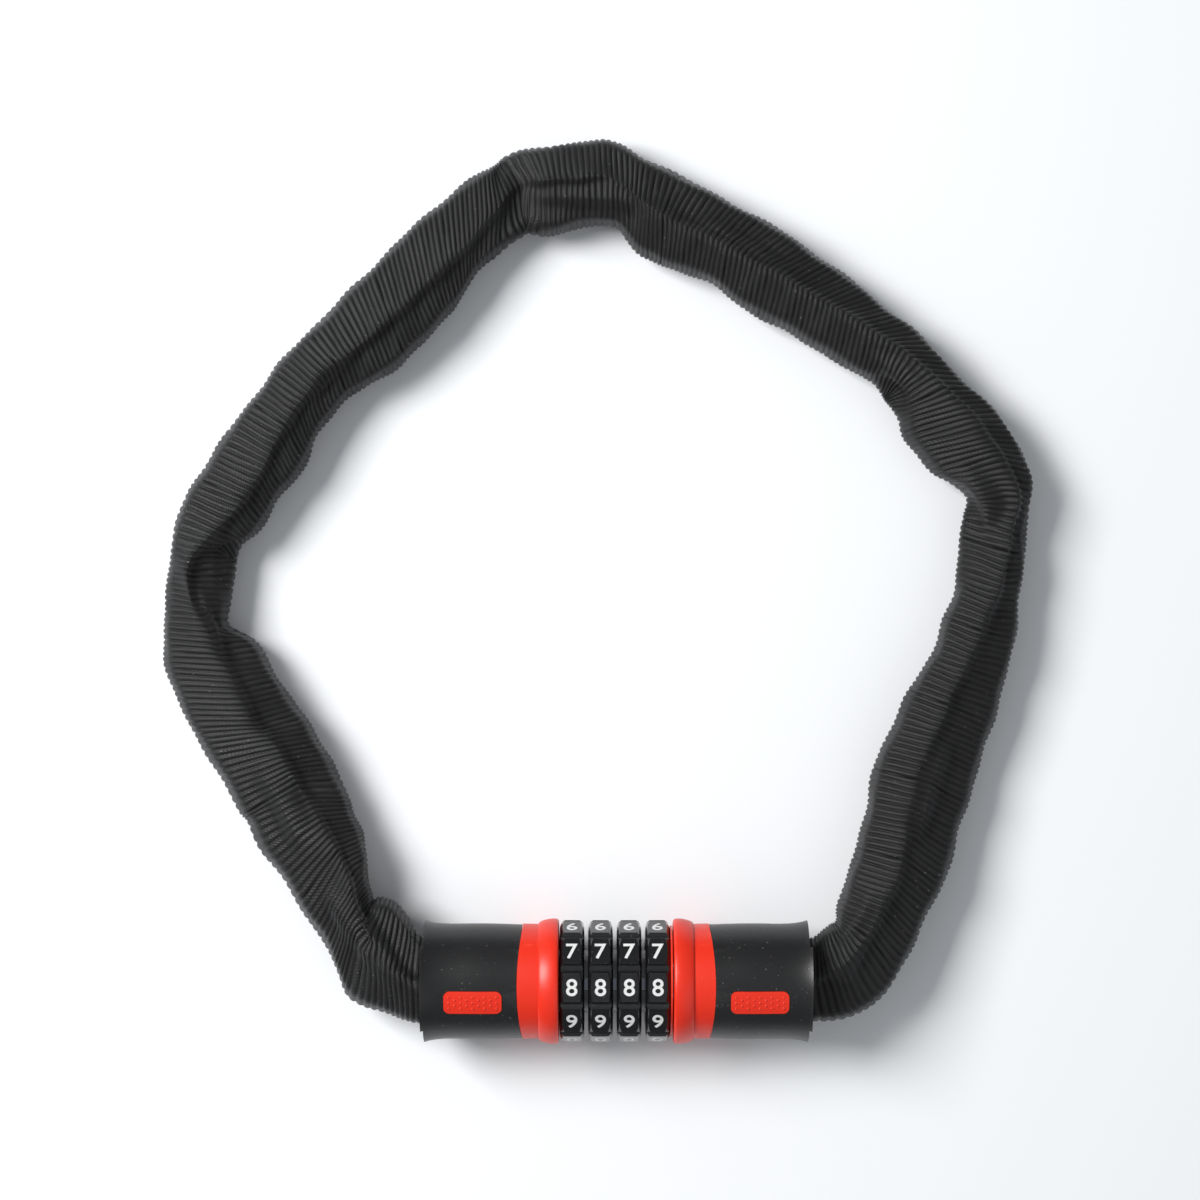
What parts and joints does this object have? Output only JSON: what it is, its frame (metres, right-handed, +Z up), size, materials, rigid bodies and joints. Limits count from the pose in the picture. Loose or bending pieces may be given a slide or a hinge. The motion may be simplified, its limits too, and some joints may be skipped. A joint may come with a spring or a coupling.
{
  "type": "chain lock",
  "caption": "Combination chain lock: a barrel with turning number dials and a pull-out plug, and a square-link chain in a ribbed fabric sleeve, closed in a loop.",
  "frame": {"origin": "on the resting surface, directly under the middle of the lock barrel", "axes": "+X along the barrel, the way the plug pulls out; +Y from the barrel towards the chain loop; +Z up from the resting surface"},
  "size_m": [0.2334, 0.2344, 0.0324],
  "materials": {
    "shell": "fine-grained black plastic",
    "red": "satin red plastic",
    "dial": "polished black plastic",
    "brass": "machined brass",
    "zinc": "die-cast zinc",
    "steel": "zinc-plated steel",
    "spring_steel": "blued spring steel",
    "link_steel": "hardened steel with a grey plating",
    "fabric": "ribbed black webbing"
  },
  "bodies": {
    "lock_body": {"left_shell": "shell", "left_collar": "red", "left_grip": "red", "lock_core": "zinc", "dial_end_plate": "red", "detent_leaf": "spring_steel", "left_anchor_pin": "steel", "left_sleeve_clamp": "steel", "left_shell_screw": "steel", "fabric_sleeve": "fabric"},
    "dial_1": {"dial_1": "dial", "code_ring_1": "brass"},
    "dial_2": {"dial_2": "dial", "code_ring_2": "brass"},
    "dial_3": {"dial_3": "dial", "code_ring_3": "brass"},
    "dial_4": {"dial_4": "dial", "code_ring_4": "brass"},
    "plug": {"right_shell": "shell", "right_collar": "red", "right_grip": "red", "plug_block": "zinc", "lock_pin": "steel", "right_anchor_pin": "steel", "right_sleeve_clamp": "steel", "right_shell_screw": "steel"},
    "link_01": {"link_01": "link_steel"},
    "link_02": {"link_02": "link_steel"},
    "link_03": {"link_03": "link_steel"},
    "link_04": {"link_04": "link_steel"},
    "link_05": {"link_05": "link_steel"},
    "link_06": {"link_06": "link_steel"},
    "link_07": {"link_07": "link_steel"},
    "link_08": {"link_08": "link_steel"},
    "link_09": {"link_09": "link_steel"},
    "link_10": {"link_10": "link_steel"},
    "link_11": {"link_11": "link_steel"},
    "link_12": {"link_12": "link_steel"},
    "link_13": {"link_13": "link_steel"},
    "link_14": {"link_14": "link_steel"},
    "link_15": {"link_15": "link_steel"},
    "link_16": {"link_16": "link_steel"},
    "link_17": {"link_17": "link_steel"},
    "link_18": {"link_18": "link_steel"},
    "link_19": {"link_19": "link_steel"},
    "link_20": {"link_20": "link_steel"},
    "link_21": {"link_21": "link_steel"},
    "link_22": {"link_22": "link_steel"},
    "link_23": {"link_23": "link_steel"},
    "link_24": {"link_24": "link_steel"},
    "link_25": {"link_25": "link_steel"},
    "link_26": {"link_26": "link_steel"},
    "link_27": {"link_27": "link_steel"}
  },
  "joints": [
    {"name": "dial_1_turn", "type": "hinge", "parent": "lock_body", "child": "dial_1", "pos_m": [0, 0, 0.0162], "axis": [1, 0, 0], "continuous": true, "deforming": ["detent_leaf"]},
    {"name": "dial_2_turn", "type": "hinge", "parent": "lock_body", "child": "dial_2", "pos_m": [0, 0, 0.0162], "axis": [1, 0, 0], "continuous": true, "deforming": ["detent_leaf"]},
    {"name": "dial_3_turn", "type": "hinge", "parent": "lock_body", "child": "dial_3", "pos_m": [0, 0, 0.0162], "axis": [1, 0, 0], "continuous": true, "deforming": ["detent_leaf"]},
    {"name": "dial_4_turn", "type": "hinge", "parent": "lock_body", "child": "dial_4", "pos_m": [0, 0, 0.0162], "axis": [1, 0, 0], "continuous": true, "deforming": ["detent_leaf"]},
    {"name": "plug_pull", "type": "slide", "parent": "lock_body", "child": "plug", "axis": [1, 0, 0], "range_m": [0, 0.036], "deforming": ["fabric_sleeve"]},
    {"name": "link_14_drift", "type": "slide", "parent": "lock_body", "child": "link_14", "axis": [1, 0, 0], "range_m": [0, 0.01836]},
    {"name": "link_01_swing", "type": "hinge", "parent": "lock_body", "child": "link_01", "pos_m": [-0.04, 0, 0.0162], "axis": [0, 0, 1], "range_deg": [-2.93, 0]},
    {"name": "link_02_swing", "type": "hinge", "parent": "link_01", "child": "link_02", "pos_m": [-0.0562, 0, 0.0162], "axis": [0, 0, 1], "range_deg": [-2.19, 0]},
    {"name": "link_03_swing", "type": "hinge", "parent": "link_02", "child": "link_03", "pos_m": [-0.07216, 0.02141, 0.01295], "axis": [0, 0, 1], "range_deg": [-2.14, 0]},
    {"name": "link_04_swing", "type": "hinge", "parent": "link_03", "child": "link_04", "pos_m": [-0.08006, 0.03555, 0.01097], "axis": [0, 0, 1], "range_deg": [0, 0.394]},
    {"name": "link_05_swing", "type": "hinge", "parent": "link_04", "child": "link_05", "pos_m": [-0.0924, 0.05922, 0.00815], "axis": [0, 0, 1], "range_deg": [0, 1.8]},
    {"name": "link_06_swing", "type": "hinge", "parent": "link_05", "child": "link_06", "pos_m": [-0.10016, 0.07345, 0.00815], "axis": [0, 0, 1], "range_deg": [-1.32, 0]},
    {"name": "link_07_swing", "type": "hinge", "parent": "link_06", "child": "link_07", "pos_m": [-0.10971, 0.09838, 0.00815], "axis": [0, 0, 1], "range_deg": [0, 1.17]},
    {"name": "link_13_swing", "type": "hinge", "parent": "link_14", "child": "link_13", "pos_m": [-0.01987, 0.20621, 0.00815], "axis": [0, 0, 1], "range_deg": [-2.23, 0]},
    {"name": "link_12_swing", "type": "hinge", "parent": "link_13", "child": "link_12", "pos_m": [-0.03447, 0.1992, 0.00815], "axis": [0, 0, 1], "range_deg": [-2.01, 0]},
    {"name": "link_11_swing", "type": "hinge", "parent": "link_12", "child": "link_11", "pos_m": [-0.05383, 0.18081, 0.00815], "axis": [0, 0, 1], "range_deg": [0, 0.367]},
    {"name": "link_10_swing", "type": "hinge", "parent": "link_11", "child": "link_10", "pos_m": [-0.0657, 0.16979, 0.00815], "axis": [0, 0, 1], "range_deg": [0, 0.867]},
    {"name": "link_09_swing", "type": "hinge", "parent": "link_10", "child": "link_09", "pos_m": [-0.08387, 0.15022, 0.00815], "axis": [0, 0, 1], "range_deg": [-0.628, 0]},
    {"name": "link_08_swing", "type": "hinge", "parent": "link_09", "child": "link_08", "pos_m": [-0.09328, 0.13704, 0.00815], "axis": [0, 0, 1], "range_deg": [-1.6, 0]},
    {"name": "link_15_swing", "type": "hinge", "parent": "link_14", "child": "link_15", "pos_m": [0.00679, 0.20468, 0.00815], "axis": [0, 0, 1], "range_deg": [0, 2.63]},
    {"name": "link_16_swing", "type": "hinge", "parent": "link_15", "child": "link_16", "pos_m": [0.02105, 0.197, 0.00815], "axis": [0, 0, 1], "range_deg": [-1.18, 0]},
    {"name": "link_17_swing", "type": "hinge", "parent": "link_16", "child": "link_17", "pos_m": [0.04371, 0.18288, 0.00815], "axis": [0, 0, 1], "range_deg": [0, 3.51]},
    {"name": "link_18_swing", "type": "hinge", "parent": "link_17", "child": "link_18", "pos_m": [0.05731, 0.17408, 0.00815], "axis": [0, 0, 1], "range_deg": [-0.47, 0]},
    {"name": "link_19_swing", "type": "hinge", "parent": "link_18", "child": "link_19", "pos_m": [0.07737, 0.15645, 0.00815], "axis": [0, 0, 1], "range_deg": [-3.54, 0]},
    {"name": "link_20_swing", "type": "hinge", "parent": "link_19", "child": "link_20", "pos_m": [0.08809, 0.14431, 0.00815], "axis": [0, 0, 1], "range_deg": [0, 3.94]},
    {"name": "link_27_swing", "type": "hinge", "parent": "plug", "child": "link_27", "pos_m": [0.04, 0, 0.0162], "axis": [0, 0, 1], "range_deg": [0, 3.4]},
    {"name": "link_26_swing", "type": "hinge", "parent": "link_27", "child": "link_26", "pos_m": [0.0562, 0, 0.0162], "axis": [0, 0, 1], "range_deg": [0, 3.07]},
    {"name": "link_25_swing", "type": "hinge", "parent": "link_26", "child": "link_25", "pos_m": [0.06884, 0.02352, 0.01295], "axis": [0, 0, 1], "range_deg": [-0.43, 0]},
    {"name": "link_24_swing", "type": "hinge", "parent": "link_25", "child": "link_24", "pos_m": [0.07639, 0.03785, 0.01097], "axis": [0, 0, 1], "range_deg": [0, 0.844]},
    {"name": "link_23_swing", "type": "hinge", "parent": "link_24", "child": "link_23", "pos_m": [0.08483, 0.06318, 0.00815], "axis": [0, 0, 1], "range_deg": [0, 0.8]},
    {"name": "link_22_swing", "type": "hinge", "parent": "link_23", "child": "link_22", "pos_m": [0.09017, 0.07848, 0.00815], "axis": [0, 0, 1], "range_deg": [-1.95, 0]},
    {"name": "link_21_swing", "type": "hinge", "parent": "link_22", "child": "link_21", "pos_m": [0.09779, 0.10407, 0.00815], "axis": [0, 0, 1], "range_deg": [-0.844, 0]}
  ],
  "couplings": [
    {"joint": "link_14_drift", "follows": "plug_pull", "ratio": 0.5},
    {"joint": "link_01_swing", "follows": "plug_pull", "rad_per_m": -1.3889},
    {"joint": "link_02_swing", "follows": "plug_pull", "rad_per_m": -1.0367},
    {"joint": "link_03_swing", "follows": "plug_pull", "rad_per_m": -1.0109},
    {"joint": "link_04_swing", "follows": "plug_pull", "rad_per_m": 0.1827},
    {"joint": "link_05_swing", "follows": "plug_pull", "rad_per_m": 0.8487},
    {"joint": "link_06_swing", "follows": "plug_pull", "rad_per_m": -0.6219},
    {"joint": "link_07_swing", "follows": "plug_pull", "rad_per_m": 0.5522},
    {"joint": "link_13_swing", "follows": "plug_pull", "rad_per_m": -1.053},
    {"joint": "link_12_swing", "follows": "plug_pull", "rad_per_m": -0.9493},
    {"joint": "link_11_swing", "follows": "plug_pull", "rad_per_m": 0.1696},
    {"joint": "link_10_swing", "follows": "plug_pull", "rad_per_m": 0.4072},
    {"joint": "link_09_swing", "follows": "plug_pull", "rad_per_m": -0.2939},
    {"joint": "link_08_swing", "follows": "plug_pull", "rad_per_m": -0.7558},
    {"joint": "link_15_swing", "follows": "plug_pull", "rad_per_m": 1.2465},
    {"joint": "link_16_swing", "follows": "plug_pull", "rad_per_m": -0.5538},
    {"joint": "link_17_swing", "follows": "plug_pull", "rad_per_m": 1.662},
    {"joint": "link_18_swing", "follows": "plug_pull", "rad_per_m": -0.2188},
    {"joint": "link_19_swing", "follows": "plug_pull", "rad_per_m": -1.6801},
    {"joint": "link_20_swing", "follows": "plug_pull", "rad_per_m": 1.8671},
    {"joint": "link_27_swing", "follows": "plug_pull", "rad_per_m": 1.6133},
    {"joint": "link_26_swing", "follows": "plug_pull", "rad_per_m": 1.4534},
    {"joint": "link_25_swing", "follows": "plug_pull", "rad_per_m": -0.1995},
    {"joint": "link_24_swing", "follows": "plug_pull", "rad_per_m": 0.3966},
    {"joint": "link_23_swing", "follows": "plug_pull", "rad_per_m": 0.3756},
    {"joint": "link_22_swing", "follows": "plug_pull", "rad_per_m": -0.9201},
    {"joint": "link_21_swing", "follows": "plug_pull", "rad_per_m": -0.3965}
  ]
}
